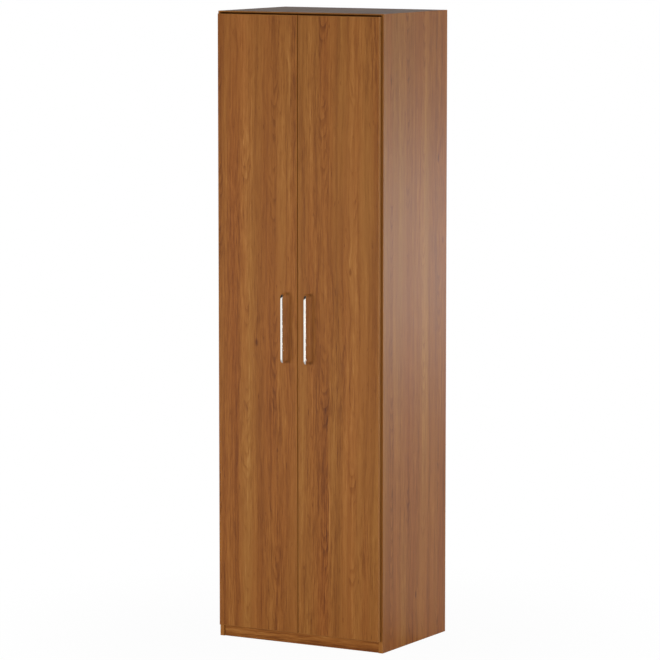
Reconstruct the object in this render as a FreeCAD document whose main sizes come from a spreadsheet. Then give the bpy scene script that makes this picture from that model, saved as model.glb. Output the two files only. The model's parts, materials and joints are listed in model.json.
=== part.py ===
"""Two-door wardrobe of laminated board, standing on its side panels.

X runs to the right, Y to the back and Z up. The origin is on the floor, in the middle of the
wardrobe's width and of its depth with the handles.
"""
import FreeCAD
import Part
import os
import re

# Driving sizes in millimetres, apart from the opening angle in degrees
SIZES = {
    # carcass boards
    "width": 655,
    "height": 2200,
    "side_depth": 457,
    "board": 16,
    "back_thickness": 3,
    "back_inset": 2,
    "plinth_height": 60,
    "plinth_setback": 4,
    "rear_plinth_setback": 30,
    "front_edging": 1,
    # shelves
    "hat_shelf_height": 1850,
    "lower_shelf_height": 400,
    "shelf_setback": 84,
    "shelf_play": 0.75,
    "pin_hole_pitch": 32,
    "pin_hole_margin": 60,
    "pin_diameter": 5,
    "pin_hole_depth": 10,
    "pin_rest_length": 9,
    "pin_rest_width": 10,
    "pin_rest_height": 7,
    # hanging rail and its holders
    "rail_drop": 62,
    "rail_width": 15,
    "rail_height": 30,
    "rail_wall": 1.2,
    "holder_plate": 3,
    "holder_collar": 12,
    "holder_wall": 2.5,
    "holder_ear": 11,
    "holder_screw": 4,
    "holder_screw_head": 7.5,
    "holder_screw_length": 14,
    # knock-down fittings
    "cam_diameter": 15,
    "cam_depth": 12.5,
    "cam_distance": 24,
    "cam_margin": 70,
    "bolt_thread": 5,
    "bolt_thread_length": 11,
    "bolt_shank": 7,
    "bolt_bore": 8,
    "bolt_end_room": 2,
    "dowel_diameter": 8,
    "dowel_in_side": 11,
    "dowel_in_panel": 19,
    "dowel_end_room": 1,
    "dowel_spacing": 45,
    "plinth_dowel_margin": 15,
    "hole_play": 0.05,
    # nails of the back panel
    "nail_diameter": 1.6,
    "nail_length": 20,
    "nail_head": 4.5,
    "nail_head_height": 0.8,
    "nail_margin": 60,
    "nail_spacing": 160,
    # doors
    "door_thickness": 16,
    "door_gap": 3,
    "side_reveal": 8,
    "top_reveal": 9.2,
    "door_bottom": 42,
    "door_split": 2.5,
    "door_edging": 2,
    "edge_round": 1.8,
    "bumper_diameter": 5,
    "bumper_inset": 30,
    "bumper_clearance": 0.3,
    # dark dust seal in the reveal above the doors
    "seal_thickness": 2.5,
    "seal_top_inset": 4.7,
    "seal_clearance": 0.3,
    # concealed hinges
    "hinge_margin": 100,
    "open_angle": 105,
    "cup_diameter": 35,
    "cup_depth": 12.5,
    "cup_wall": 1,
    "cup_offset": 3,
    "flange_thickness": 1.2,
    "flange_length": 62,
    "flange_width": 16,
    "flange_overlap": 4,
    "cup_screw": 3.5,
    "cup_screw_head": 7,
    "cup_screw_length": 12,
    "cup_screw_pitch": 48,
    "hinge_pin": 3,
    "pin_clearance": 0.05,
    "pin_inset": 8,
    "pin_depth": 7.8,
    "knuckle_diameter": 5.5,
    "lug_thickness": 5,
    "lug_gap": 0.5,
    "lug_end": 1,
    "arm_width": 10,
    "arm_thickness": 2,
    "neck_clearance": 0.9,
    "neck_rise": 6,
    "arm_tail": 32,
    "arm_flange": 1.2,
    "arm_flange_gap": 0.3,
    "arm_screw": 5,
    "arm_screw_head": 8,
    "arm_screw_length": 7,
    "clamp_offset": 20,
    "adjuster_offset": 9,
    "plate_setback": 37,
    "plate_thickness": 2,
    "plate_pitch": 32,
    "plate_wing": 18,
    "plate_end": 8,
    "plate_screw": 5,
    "plate_screw_head": 8,
    "plate_screw_length": 12,
    "rib_height": 4,
    "rib_width": 12,
    "rib_front": 20,
    "rib_rear": 28,
    "screw_head_height": 2,
    # bow handles
    "handle_pitch": 236,
    "handle_bar": 10,
    "handle_reach": 35,
    "handle_bend": 13,
    "handle_from_edge": 45,
    "handle_height": 1111,
    "handle_screw": 4,
    "handle_screw_head": 8,
    "handle_screw_grip": 11,
    "handle_hole_room": 2,
}

# Places worked out from the driving sizes
PLACES = {
    "inner_half": "width / 2 - board",
    "inner_width": "width - 2 * board",
    "front_build": "handle_reach + door_thickness + door_gap",
    "rear_build": "side_depth + back_thickness + nail_head_height",
    "carcass_front": "(front_build - rear_build) / 2",
    "carcass_back": "carcass_front + side_depth",
    "board_front": "carcass_front + front_edging",
    "board_depth": "side_depth - front_edging",
    "shelf_front": "carcass_front + shelf_setback",
    "shelf_depth": "side_depth - shelf_setback - front_edging",
    "rail_level": "hat_shelf_height - rail_drop",
    "rail_line": "carcass_front + side_depth / 2",
    "holder_height": "rail_height + 2 * holder_wall + 2 * hole_play",
    "holder_width": "rail_width + 2 * holder_wall + 2 * hole_play",
    "plinth_front_face": "carcass_front + plinth_setback",
    "plinth_rear_face": "carcass_back - rear_plinth_setback - board",
    "door_back": "carcass_front - door_gap",
    "door_front": "door_back - door_thickness",
    "door_width": "width / 2 - side_reveal - door_split / 2",
    "door_height": "height - top_reveal - door_bottom",
    "hinge_line": "side_reveal + pin_inset",
    "hinge_depth": "door_back - pin_depth",
    "cup_line": "side_reveal + cup_offset + cup_diameter / 2",
    "cup_floor": "door_back - cup_depth",
    "cup_screw_line": "cup_line - flange_overlap + flange_width / 2",
    "lug_inner": "arm_width / 2 + lug_gap",
    "neck_line": "hinge_line - pin_inset * cos(open_angle * 1 deg) + pin_depth * sin(open_angle * 1 deg)"
                 " + neck_clearance",
    "neck_end": "carcass_front + neck_rise",
    "plate_line": "carcass_front + plate_setback",
    "web_line": "board + plate_thickness + rib_height",
    "handle_line": "width / 2 - door_split / 2 - handle_from_edge",
    "bar_line": "door_front - handle_reach + handle_bar / 2",
    "bend_line": "bar_line + handle_bend",
}

LEFT, RIGHT = -1, 1
SIDE_NAMES = {LEFT: "left", RIGHT: "right"}
HINGE_COUNT = 4
PIN_HOLE_COUNT = 7

# an edging strip keeps a little flat between its rounded edges
LARGEST_ROUND_SHARE = 0.95
# limits for telling a strip's long outer edges from its others
SAME_PLACE = 1e-6
LONG_EDGE_SHARE = 0.99

X_AXIS = FreeCAD.Vector(1, 0, 0)
Y_AXIS = FreeCAD.Vector(0, 1, 0)
Z_AXIS = FreeCAD.Vector(0, 0, 1)
TURNS = {
    "+x": FreeCAD.Rotation(Y_AXIS, 90),
    "-x": FreeCAD.Rotation(Y_AXIS, -90),
    "+y": FreeCAD.Rotation(X_AXIS, -90),
    "-y": FreeCAD.Rotation(X_AXIS, 90),
    "+z": FreeCAD.Rotation(),
}

doc = FreeCAD.newDocument("Wardrobe")
sheet = doc.addObject("Spreadsheet::Sheet", "Sizes")
nodes = []


def fill_sheet():
    """Put every driving size in the sheet, under its own name."""
    for row, (name, size) in enumerate(SIZES.items(), start=1):
        sheet.set(f"A{row}", name)
        sheet.set(f"B{row}", str(size))
        sheet.setAlias(f"B{row}", name)
    doc.recompute()


def formula(text):
    """Spell out a formula with the sheet's own cells."""
    def spell(match):
        word = match.group(0)
        if word in PLACES:
            return "(" + formula(PLACES[word]) + ")"
        if word in SIZES:
            return "Sizes." + word
        return word
    return re.sub(r"[a-z][a-z_]*", spell, text)


def place(piece, x, y, z):
    """Tie the place of a piece to formulas."""
    for axis, text in zip("xyz", (x, y, z)):
        piece.setExpression("Placement.Base." + axis, formula(text))
    return piece


def box(x, y, z, length, depth, height):
    """A block with its lowest corner at x, y, z."""
    piece = doc.addObject("Part::Box", "Block")
    for name, text in (("Length", length), ("Width", depth), ("Height", height)):
        piece.setExpression(name, formula(text))
    return place(piece, x, y, z)


def rod(x, y, z, diameter, length, along):
    """A round bar that starts at x, y, z and runs along an axis."""
    piece = doc.addObject("Part::Cylinder", "Rod")
    piece.Placement = FreeCAD.Placement(FreeCAD.Vector(), TURNS[along])
    piece.setExpression("Radius", formula(f"({diameter}) / 2"))
    piece.setExpression("Height", formula(length))
    return place(piece, x, y, z)


def from_side(side, inset):
    """The X place that lies inset from the outer face of one side panel."""
    return f"-width / 2 + {inset}" if side == LEFT else f"width / 2 - ({inset})"


def side_box(side, inset, y, z, length, depth, height):
    """A block that starts at an inset from one side of the wardrobe and runs inwards."""
    start = inset if side == LEFT else f"{inset} + {length}"
    return box(from_side(side, start), y, z, length, depth, height)


def inward(side):
    """The axis that runs from one side panel to the middle."""
    return "+x" if side == LEFT else "-x"


def outward(side):
    """The axis that runs from the middle to one side panel."""
    return "-x" if side == LEFT else "+x"


def side_rod(side, inset, y, z, diameter, length, along):
    """A round bar that starts at an inset from one side of the wardrobe."""
    return rod(from_side(side, inset), y, z, diameter, length, along)


def group(pieces):
    """Separate solids that belong to one node."""
    compound = doc.addObject("Part::Compound", "Group")
    compound.Links = pieces
    return compound


def fuse(pieces):
    """Pieces joined into one solid."""
    joined = doc.addObject("Part::MultiFuse", "Joined")
    joined.Shapes = pieces
    return joined


def cut(base, tools):
    """A piece with other pieces taken out of it."""
    trimmed = doc.addObject("Part::Cut", "Trimmed")
    trimmed.Base = base
    trimmed.Tool = group(tools)
    return trimmed


def node(piece, label):
    """Name a finished sub-part."""
    piece.Label = label
    nodes.append(piece)
    return piece


def played(diameter):
    """The bore that takes a piece of this diameter."""
    return f"{diameter} + 2 * hole_play"


def round_outer_edges(strip, outward_axis):
    """Round the two long edges of an edging strip that face away from the board."""
    doc.recompute()
    edges = strip.Shape.Edges
    reach = max(edge.CenterOfMass.dot(outward_axis) for edge in edges)
    longest = max(edge.Length for edge in edges)
    rounded = doc.addObject("Part::Fillet", "Rounded")
    rounded.Base = strip
    radius = min(sheet.get("edge_round"), LARGEST_ROUND_SHARE * sheet.get("door_edging"))
    rounded.Edges = [
        (number, radius, radius)
        for number, edge in enumerate(edges, start=1)
        if edge.CenterOfMass.dot(outward_axis) > reach - SAME_PLACE
        and edge.Length > LONG_EDGE_SHARE * longest
    ]
    return rounded


def screw(start, shank, shank_length, head, along_head, along_shank):
    """A screw whose head and shank part at one point."""
    return fuse([
        rod(*start, shank, shank_length, along_shank),
        rod(*start, head, "screw_head_height", along_head),
    ])


# Fitting stations: where cams and dowels join a level board to the side panels

# underside of each board that is held by cams, with its front edge
CAM_BOARDS = [
    ("height - board", "carcass_front"),
    ("plinth_height", "carcass_front"),
    ("hat_shelf_height", "shelf_front"),
]
PLINTH_FACES = ["plinth_front_face", "plinth_rear_face"]


def cam_stations():
    """Y and underside of each cam, front and rear."""
    stations = []
    for underside, front in CAM_BOARDS:
        stations.append((f"{front} + cam_margin", underside))
        stations.append(("carcass_back - cam_margin", underside))
    return stations


def board_dowel_stations():
    """Y and underside of each dowel in a level board, between its two cams."""
    stations = []
    for underside, front in CAM_BOARDS:
        stations.append((f"{front} + cam_margin + dowel_spacing", underside))
        stations.append(("carcass_back - cam_margin - dowel_spacing", underside))
    return stations


def plinth_dowel_stations(face):
    """Y and level of the two dowels at each end of a plinth board."""
    return [
        (f"{face} + board / 2", "plinth_dowel_margin"),
        (f"{face} + board / 2", "plinth_height - plinth_dowel_margin"),
    ]


def dowel_stations():
    """Y and middle level of every dowel."""
    stations = [(y, f"{underside} + board / 2") for y, underside in board_dowel_stations()]
    for face in PLINTH_FACES:
        stations.extend(plinth_dowel_stations(face))
    return stations


def hinge_levels():
    """Middle level of each hinge."""
    step = f"(door_height - 2 * hinge_margin) / {HINGE_COUNT - 1}"
    return [f"door_bottom + hinge_margin + {number} * {step}" for number in range(HINGE_COUNT)]


def shelf_pin_lines():
    """Y of the front and the rear row of shelf pins."""
    return ["shelf_front + pin_hole_margin", "carcass_back - pin_hole_margin"]


def rail_screw_levels():
    """Level of the screw above and of the screw below the hanging rail."""
    reach = "(holder_height / 2 + holder_ear / 2)"
    return [f"rail_level + {reach}", f"rail_level - {reach}"]


def nail_steps(span):
    """How many equal steps of about one nail spacing fit a span."""
    return max(2, round(span / sheet.get("nail_spacing")))


def nail_stations():
    """X and Z of every nail, up both sides and along the top and the bottom board."""
    up = nail_steps(sheet.get("height"))
    across = nail_steps(sheet.get("width"))
    stations = []
    for number in range(up + 1):
        level = f"nail_margin + (height - 2 * nail_margin) * {number} / {up}"
        for side in (LEFT, RIGHT):
            stations.append((from_side(side, "board / 2"), level))
    for number in range(1, across):
        place_x = f"-inner_half + inner_width * {number} / {across}"
        stations.append((place_x, "height - board / 2"))
        stations.append((place_x, "plinth_height + board / 2"))
    return stations


def nail_holes():
    """Holes that the nails fill, through the back panel and into the boards."""
    return [
        rod(x, "carcass_back + back_thickness", z, played("nail_diameter"), "nail_length", "-y")
        for x, z in nail_stations()
    ]


# Carcass

def face_hole(side, y, z, diameter, depth):
    """A blind hole in the inner face of one side panel, for a piece of this diameter."""
    return side_rod(side, "board", y, z, played(diameter), depth, outward(side))


def side_panel(side):
    """One upright board with every hole that its fittings need."""
    board = side_box(side, "0", "board_front", "0", "board", "board_depth", "height")
    holes = []
    for y, underside in cam_stations():
        level = f"{underside} + board / 2"
        holes.append(face_hole(side, y, level, "bolt_thread", "bolt_thread_length"))
    for y, level in dowel_stations():
        holes.append(face_hole(side, y, level, "dowel_diameter", "dowel_in_side"))
    for y in shelf_pin_lines():
        for number in range(PIN_HOLE_COUNT):
            step = number - PIN_HOLE_COUNT // 2
            level = f"lower_shelf_height - pin_rest_height / 2 + {step} * pin_hole_pitch"
            holes.append(face_hole(side, y, level, "pin_diameter", "pin_hole_depth"))
    for level in rail_screw_levels():
        depth = "holder_screw_length - holder_plate"
        holes.append(face_hole(side, "rail_line", level, "holder_screw", depth))
    for level in hinge_levels():
        for sign in "+-":
            place_z = f"{level} {sign} plate_pitch / 2"
            depth = "plate_screw_length - plate_thickness"
            holes.append(face_hole(side, "plate_line", place_z, "plate_screw", depth))
    node(cut(cut(board, holes), nail_holes()), f"side_panel_{SIDE_NAMES[side]}")


def cam_bores(underside, front):
    """Cam and bolt bores at both ends of one level board."""
    bores = []
    for y in (f"{front} + cam_margin", "carcass_back - cam_margin"):
        for side in (LEFT, RIGHT):
            level = f"{underside} + board / 2"
            bores.append(side_rod(side, "board + cam_distance", y, underside,
                                  played("cam_diameter"), "cam_depth", "+z"))
            bores.append(side_rod(side, "board", y, level, "bolt_bore", "cam_distance", inward(side)))
    return bores


def dowel_bores(stations):
    """Dowel bores at both ends of a board."""
    return [
        side_rod(side, "board", y, level, played("dowel_diameter"), "dowel_in_panel", inward(side))
        for y, level in stations
        for side in (LEFT, RIGHT)
    ]


def level_board(underside, front, depth):
    """A level board between the side panels, held by cams and dowels."""
    board = box("-inner_half", f"{front} + front_edging", underside, "inner_width", depth, "board")
    stations = [
        (y, f"{bottom} + board / 2")
        for y, bottom in board_dowel_stations()
        if bottom == underside
    ]
    bores = fuse(cam_bores(underside, front))
    return cut(board, [bores] + dowel_bores(stations))


def level_boards():
    """Top board, bottom board and hat shelf."""
    names = ["top_panel", "bottom_panel", "hat_shelf"]
    for (underside, front), name in zip(CAM_BOARDS, names):
        depth = "shelf_depth" if front == "shelf_front" else "board_depth"
        board = level_board(underside, front, depth)
        if front != "shelf_front":
            board = cut(board, nail_holes())
        node(board, name)


def lower_shelf():
    """A loose shelf that lies on pins."""
    node(box("-inner_half + shelf_play", "shelf_front + front_edging", "lower_shelf_height",
             "inner_width - 2 * shelf_play", "shelf_depth", "board"), "lower_shelf")


def plinth_boards():
    """Upright boards under the bottom board, at the front and at the rear."""
    for face, label in zip(PLINTH_FACES, ("plinth_front", "plinth_rear")):
        board = box("-inner_half", face, "0", "inner_width", "board", "plinth_height")
        node(cut(board, dowel_bores(plinth_dowel_stations(face))), label)


def back_panel():
    """A thin board nailed on the back of the carcass."""
    sheet_board = box("-width / 2 + back_inset", "carcass_back", "back_inset",
                      "width - 2 * back_inset", "back_thickness", "height - 2 * back_inset")
    node(cut(sheet_board, nail_holes()), "back_panel")


def carcass_edging():
    """Thin strips on the front edges of the carcass boards and shelves."""
    strips = [
        side_box(side, "0", "carcass_front", "0", "board", "front_edging", "height")
        for side in (LEFT, RIGHT)
    ]
    for underside, front in CAM_BOARDS:
        strips.append(box("-inner_half", front, underside, "inner_width", "front_edging", "board"))
    strips.append(box("-inner_half + shelf_play", "shelf_front", "lower_shelf_height",
                      "inner_width - 2 * shelf_play", "front_edging", "board"))
    node(group(strips), "carcass_edging")


# Fittings of the carcass

def cams_and_bolts():
    """Round cam housings under the boards, and the bolts that they grip."""
    cams = []
    bolts = []
    for y, underside in cam_stations():
        level = f"{underside} + board / 2"
        for side in (LEFT, RIGHT):
            body = side_rod(side, "board + cam_distance", y, underside, "cam_diameter", "cam_depth", "+z")
            mouth = side_rod(side, "board + cam_distance + bolt_end_room", y, level, "bolt_bore",
                             "cam_diameter", outward(side))
            cams.append(cut(body, [mouth]))
            bolts.append(fuse([
                side_rod(side, "board", y, level, "bolt_thread", "bolt_thread_length", outward(side)),
                side_rod(side, "board", y, level, "bolt_shank", "cam_distance", inward(side)),
            ]))
    node(group(cams), "cam_housings")
    node(group(bolts), "cam_bolts")


def dowels():
    """Wooden pegs that line the level boards up with the side panels."""
    pegs = [
        side_rod(side, "board - dowel_in_side", y, level, "dowel_diameter",
                 "dowel_in_side + dowel_in_panel - dowel_end_room", inward(side))
        for y, level in dowel_stations()
        for side in (LEFT, RIGHT)
    ]
    node(group(pegs), "dowels")


def shelf_pins():
    """Pins in the side panels, each with a flat rest under the lower shelf."""
    pins = []
    for side in (LEFT, RIGHT):
        for y in shelf_pin_lines():
            level = "lower_shelf_height - pin_rest_height / 2"
            peg = side_rod(side, "board", y, level, "pin_diameter", "pin_hole_depth", outward(side))
            rest = side_box(side, "board", f"{y} - pin_rest_width / 2",
                            "lower_shelf_height - pin_rest_height",
                            "pin_rest_length", "pin_rest_width", "pin_rest_height")
            pins.append(fuse([peg, rest]))
    node(group(pins), "shelf_pins")


def oval_bar(x, length, width, height):
    """An upright oval bar along X, at the hanging rail's line."""
    half = f"(({height}) - ({width})) / 2"
    return fuse([
        box(x, f"rail_line - ({width}) / 2", f"rail_level - {half}", length, width, f"2 * {half}"),
        rod(x, "rail_line", f"rail_level + {half}", width, length, "+x"),
        rod(x, "rail_line", f"rail_level - {half}", width, length, "+x"),
    ])


def hanging_rail():
    """An oval tube between the end holders."""
    start = "-inner_half + holder_plate"
    length = "inner_width - 2 * holder_plate"
    outer = oval_bar(start, length, "rail_width", "rail_height")
    inner = oval_bar(start, length, "rail_width - 2 * rail_wall", "rail_height - 2 * rail_wall")
    node(cut(outer, [inner]), "hanging_rail")


def rail_holders():
    """End holders: a plate with two screw ears and a collar round the rail."""
    screws = []
    for side in (LEFT, RIGHT):
        plate_start = "-inner_half" if side == LEFT else "inner_half - holder_plate"
        far_end = "inner_half - holder_plate - holder_collar"
        collar_start = "-inner_half" if side == LEFT else far_end
        bore_start = "-inner_half + holder_plate" if side == LEFT else far_end
        plate = oval_bar(plate_start, "holder_plate", "holder_width", "holder_height + 2 * holder_ear")
        collar = oval_bar(collar_start, "holder_plate + holder_collar", "holder_width", "holder_height")
        bore = oval_bar(bore_start, "holder_collar", played("rail_width"), played("rail_height"))
        holes = []
        for level in rail_screw_levels():
            holes.append(side_rod(side, "board", "rail_line", level,
                                  played("holder_screw"), "holder_plate", inward(side)))
            start = (from_side(side, "board + holder_plate"), "rail_line", level)
            screws.append(screw(start, "holder_screw", "holder_screw_length", "holder_screw_head",
                                inward(side), outward(side)))
        node(cut(fuse([plate, collar]), [bore] + holes), f"rail_holder_{SIDE_NAMES[side]}")
    node(group(screws), "rail_holder_screws")


def back_panel_nails():
    """Flat-headed nails through the back panel."""
    nails = [
        fuse([
            rod(x, "carcass_back + back_thickness", z, "nail_diameter", "nail_length", "-y"),
            rod(x, "carcass_back + back_thickness", z, "nail_head", "nail_head_height", "+y"),
        ])
        for x, z in nail_stations()
    ]
    node(group(nails), "back_panel_nails")


def door_bumpers():
    """Soft dots on the front edges of the top and bottom boards, which the doors close on."""
    dots = []
    for x in ("-bumper_inset", "bumper_inset"):
        for level in ("height - (board + top_reveal) / 2", "plinth_height + board / 2"):
            dots.append(rod(x, "carcass_front", level, "bumper_diameter",
                            "door_gap - bumper_clearance", "-y"))
    node(group(dots), "door_bumpers")


def dust_seal():
    """A dark soft strip on the carcass's front edges, in the reveal above the doors."""
    node(box(from_side(LEFT, "side_reveal"), "carcass_front - seal_thickness",
             "height - top_reveal + seal_clearance", "width - 2 * side_reveal",
             "seal_thickness", "top_reveal - seal_top_inset - seal_clearance"), "dust_seal")


# Hinge halves on the carcass

def hinge_plate(side, level):
    """A wing plate screwed to the side panel, with a rib that carries the arm."""
    height = "plate_pitch + 2 * plate_end"
    wing = side_box(side, "board", "plate_line - plate_wing / 2", f"{level} - ({height}) / 2",
                    "plate_thickness", "plate_wing", height)
    rib = side_box(side, "board", "plate_line - rib_front", f"{level} - rib_width / 2",
                   "plate_thickness + rib_height", "rib_front + rib_rear", "rib_width")
    holes = []
    for sign in "+-":
        place_z = f"{level} {sign} plate_pitch / 2"
        holes.append(side_rod(side, "board", "plate_line", place_z,
                              played("plate_screw"), "plate_thickness", inward(side)))
    for y in arm_screw_lines():
        depth = "arm_screw_length - arm_thickness"
        holes.append(side_rod(side, "web_line", y, level, played("arm_screw"), depth, outward(side)))
    return cut(fuse([wing, rib]), holes)


def arm_screw_lines():
    """Y of the clamping screw and of the adjusting screw."""
    return ["plate_line + clamp_offset", "plate_line - adjuster_offset"]


def hinge_arm(side, level):
    """A cranked arm: knuckle in the cup, neck out of its mouth, channel over the plate's rib."""
    low = f"{level} - arm_width / 2"
    strip_start = "hinge_depth - knuckle_diameter / 2"
    web_width = "rib_width + 2 * (arm_flange_gap + arm_flange)"
    web_length = "plate_line + arm_tail - neck_end"
    knuckle = side_rod(side, "hinge_line", "hinge_depth", low, "knuckle_diameter", "arm_width", "+z")
    strip = side_box(side, "hinge_line", strip_start, low,
                     "neck_line + arm_thickness - (hinge_line)", "arm_thickness", "arm_width")
    neck = side_box(side, "neck_line", strip_start, low,
                    "arm_thickness", f"neck_end + arm_thickness - ({strip_start})", "arm_width")
    shoulder = side_box(side, "web_line", "neck_end", low,
                        "neck_line + arm_thickness - (web_line)", "arm_thickness", "arm_width")
    web = side_box(side, "web_line", "neck_end", f"{level} - ({web_width}) / 2",
                   "arm_thickness", web_length, web_width)
    pieces = [knuckle, strip, neck, shoulder, web]
    flange_start = "plate_line - rib_front"
    for place_z in (f"{level} - ({web_width}) / 2", f"{level} + ({web_width}) / 2 - arm_flange"):
        pieces.append(side_box(side, "board + plate_thickness + rib_height / 2", flange_start, place_z,
                               "rib_height / 2 + arm_thickness", "rib_front + arm_tail", "arm_flange"))
    eye = side_rod(side, "hinge_line", "hinge_depth", low,
                   "hinge_pin + 2 * pin_clearance", "arm_width", "+z")
    holes = [
        side_rod(side, "web_line", y, level, played("arm_screw"), "arm_thickness", inward(side))
        for y in arm_screw_lines()
    ]
    return cut(fuse(pieces), [eye] + holes)


def hinges_on_carcass(side):
    """Plates, arms and their screws on one side panel."""
    name = SIDE_NAMES[side]
    levels = hinge_levels()
    node(group([hinge_plate(side, level) for level in levels]), f"hinge_plates_{name}")
    node(group([hinge_arm(side, level) for level in levels]), f"hinge_arms_{name}")
    plate_screws = []
    arm_screws = []
    for level in levels:
        for sign in "+-":
            place_z = f"{level} {sign} plate_pitch / 2"
            start = (from_side(side, "board + plate_thickness"), "plate_line", place_z)
            plate_screws.append(screw(start, "plate_screw", "plate_screw_length", "plate_screw_head",
                                      inward(side), outward(side)))
        for y in arm_screw_lines():
            start = (from_side(side, "web_line + arm_thickness"), y, level)
            arm_screws.append(screw(start, "arm_screw", "arm_screw_length", "arm_screw_head",
                                    inward(side), outward(side)))
    node(group(plate_screws), f"plate_screws_{name}")
    node(group(arm_screws), f"arm_screws_{name}")


# Doors

def cup_screw_levels(level):
    """Level of the two screws of the hinge cup at this level."""
    return [f"{level} {sign} cup_screw_pitch / 2" for sign in "+-"]


def handle_screw_levels():
    """Level of the two screws of a handle."""
    return [f"handle_height {sign} handle_pitch / 2" for sign in "+-"]


def door_panel(side):
    """The door's board, with cup bores, screw holes and handle holes, inside its edging."""
    board = side_box(side, "side_reveal + door_edging", "door_front", "door_bottom + door_edging",
                     "door_width - 2 * door_edging", "door_thickness", "door_height - 2 * door_edging")
    holes = []
    for level in hinge_levels():
        holes.append(side_rod(side, "cup_line", "door_back", level,
                              played("cup_diameter"), "cup_depth", "-y"))
        for place_z in cup_screw_levels(level):
            depth = "cup_screw_length - flange_thickness"
            holes.append(side_rod(side, "cup_screw_line", "door_back", place_z,
                                  played("cup_screw"), depth, "-y"))
    for place_z in handle_screw_levels():
        holes.append(side_rod(side, "handle_line", "door_back", place_z,
                              played("handle_screw"), "door_thickness", "-y"))
    node(cut(board, holes), f"door_panel_{SIDE_NAMES[side]}")


def door_edging(side):
    """Four strips with rounded outer edges round the door's board."""
    door_start = "side_reveal"
    door_end = "side_reveal + door_width - door_edging"
    strips = []
    for inset, turn in ((door_start, side), (door_end, -side)):
        strip = side_box(side, inset, "door_front", "door_bottom",
                         "door_edging", "door_thickness", "door_height")
        strips.append(round_outer_edges(strip, X_AXIS * turn))
    for level, turn in (("door_bottom", -1), ("door_bottom + door_height - door_edging", 1)):
        strip = side_box(side, "side_reveal + door_edging", "door_front", level,
                         "door_width - 2 * door_edging", "door_thickness", "door_edging")
        strips.append(round_outer_edges(strip, Z_AXIS * turn))
    node(group(strips), f"door_edging_{SIDE_NAMES[side]}")


def hinge_cup(side, level):
    """A cup sunk in the door's back, with a screw flange and two lugs that hold the pin."""
    inner = "cup_diameter - 2 * cup_wall"
    inner_depth = "cup_depth - cup_wall"
    outer_cup = side_rod(side, "cup_line", "cup_floor", level, "cup_diameter", "cup_depth", "+y")
    hollow = side_rod(side, "cup_line", "cup_floor + cup_wall", level, inner, inner_depth, "+y")
    flange = side_box(side, "cup_line - flange_overlap", "door_back", f"{level} - flange_length / 2",
                      "flange_width", "flange_thickness", "flange_length")
    mouth = side_rod(side, "cup_line", "door_back", level, inner, "flange_thickness", "+y")
    lugs = []
    for place_z in (f"{level} - lug_inner - lug_thickness", f"{level} + lug_inner"):
        block = side_box(side, "hinge_line - pin_inset + cup_offset", "cup_floor + cup_wall", place_z,
                         "pin_inset - cup_offset + knuckle_diameter / 2",
                         "cup_depth - cup_wall - pin_depth + knuckle_diameter / 2", "lug_thickness")
        core = side_rod(side, "cup_line", "cup_floor + cup_wall", level, "cup_diameter - cup_wall",
                        inner_depth, "+y")
        lug = doc.addObject("Part::Common", "Lug")
        lug.Base = block
        lug.Tool = core
        lugs.append(lug)
    shell = cut(outer_cup, [hollow])
    plate = cut(flange, [mouth])
    half = pin_half_length()
    eye = side_rod(side, "hinge_line", "hinge_depth", f"{level} - ({half})", "hinge_pin",
                   f"2 * ({half})", "+z")
    holes = [
        side_rod(side, "cup_screw_line", "door_back", place_z, played("cup_screw"), "flange_thickness", "+y")
        for place_z in cup_screw_levels(level)
    ]
    return cut(fuse([shell, plate] + lugs), [eye] + holes)


def pin_half_length():
    """Half of the length of a hinge pin."""
    return "lug_inner + lug_thickness - lug_end"


def hinges_on_door(side):
    """Cups, pins and their screws on one door."""
    name = SIDE_NAMES[side]
    levels = hinge_levels()
    node(group([hinge_cup(side, level) for level in levels]), f"hinge_cups_{name}")
    half = pin_half_length()
    pins = [
        side_rod(side, "hinge_line", "hinge_depth", f"{level} - ({half})", "hinge_pin",
                 f"2 * ({half})", "+z")
        for level in levels
    ]
    node(group(pins), f"hinge_pins_{name}")
    screws = []
    for level in levels:
        for place_z in cup_screw_levels(level):
            start = (from_side(side, "cup_screw_line"), "door_back + flange_thickness", place_z)
            screws.append(screw(start, "cup_screw", "cup_screw_length", "cup_screw_head", "+y", "-y"))
    node(group(screws), f"cup_screws_{name}")


def handle_bend(x, level, start_axis, end_axis):
    """A quarter bend of the handle's bar, from one axis to another across the X axis."""
    bend = doc.addObject("Part::Torus", "Bend")
    turn = FreeCAD.Rotation(start_axis, end_axis, X_AXIS, "XYZ")
    bend.Placement = FreeCAD.Placement(FreeCAD.Vector(), turn)
    bend.setExpression("Radius1", formula("handle_bend"))
    bend.setExpression("Radius2", formula("handle_bar / 2"))
    bend.Angle3 = 90
    return place(bend, x, "bend_line", level)


def door_handle(side):
    """A bow of round bar: two legs, two bends and a straight grip."""
    x = from_side(side, "handle_line")
    top = "handle_height + handle_pitch / 2"
    bottom = "handle_height - handle_pitch / 2"
    leg = "handle_reach - handle_bar / 2 - handle_bend"
    bow = fuse([
        rod(x, "door_front", top, "handle_bar", leg, "-y"),
        handle_bend(x, f"{top} - handle_bend", Z_AXIS, -Y_AXIS),
        rod(x, "bar_line", f"{bottom} + handle_bend", "handle_bar",
            "handle_pitch - 2 * handle_bend", "+z"),
        handle_bend(x, f"{bottom} + handle_bend", -Y_AXIS, -Z_AXIS),
        rod(x, "door_front", bottom, "handle_bar", leg, "-y"),
    ])
    holes = [
        rod(x, "door_front", level, played("handle_screw"), "handle_screw_grip + handle_hole_room", "-y")
        for level in (top, bottom)
    ]
    node(cut(bow, holes), f"door_handle_{SIDE_NAMES[side]}")
    screws = [
        screw((x, "door_back", level), "handle_screw", "door_thickness + handle_screw_grip",
              "handle_screw_head", "+y", "-y")
        for level in handle_screw_levels()
    ]
    node(group(screws), f"handle_screws_{SIDE_NAMES[side]}")


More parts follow.
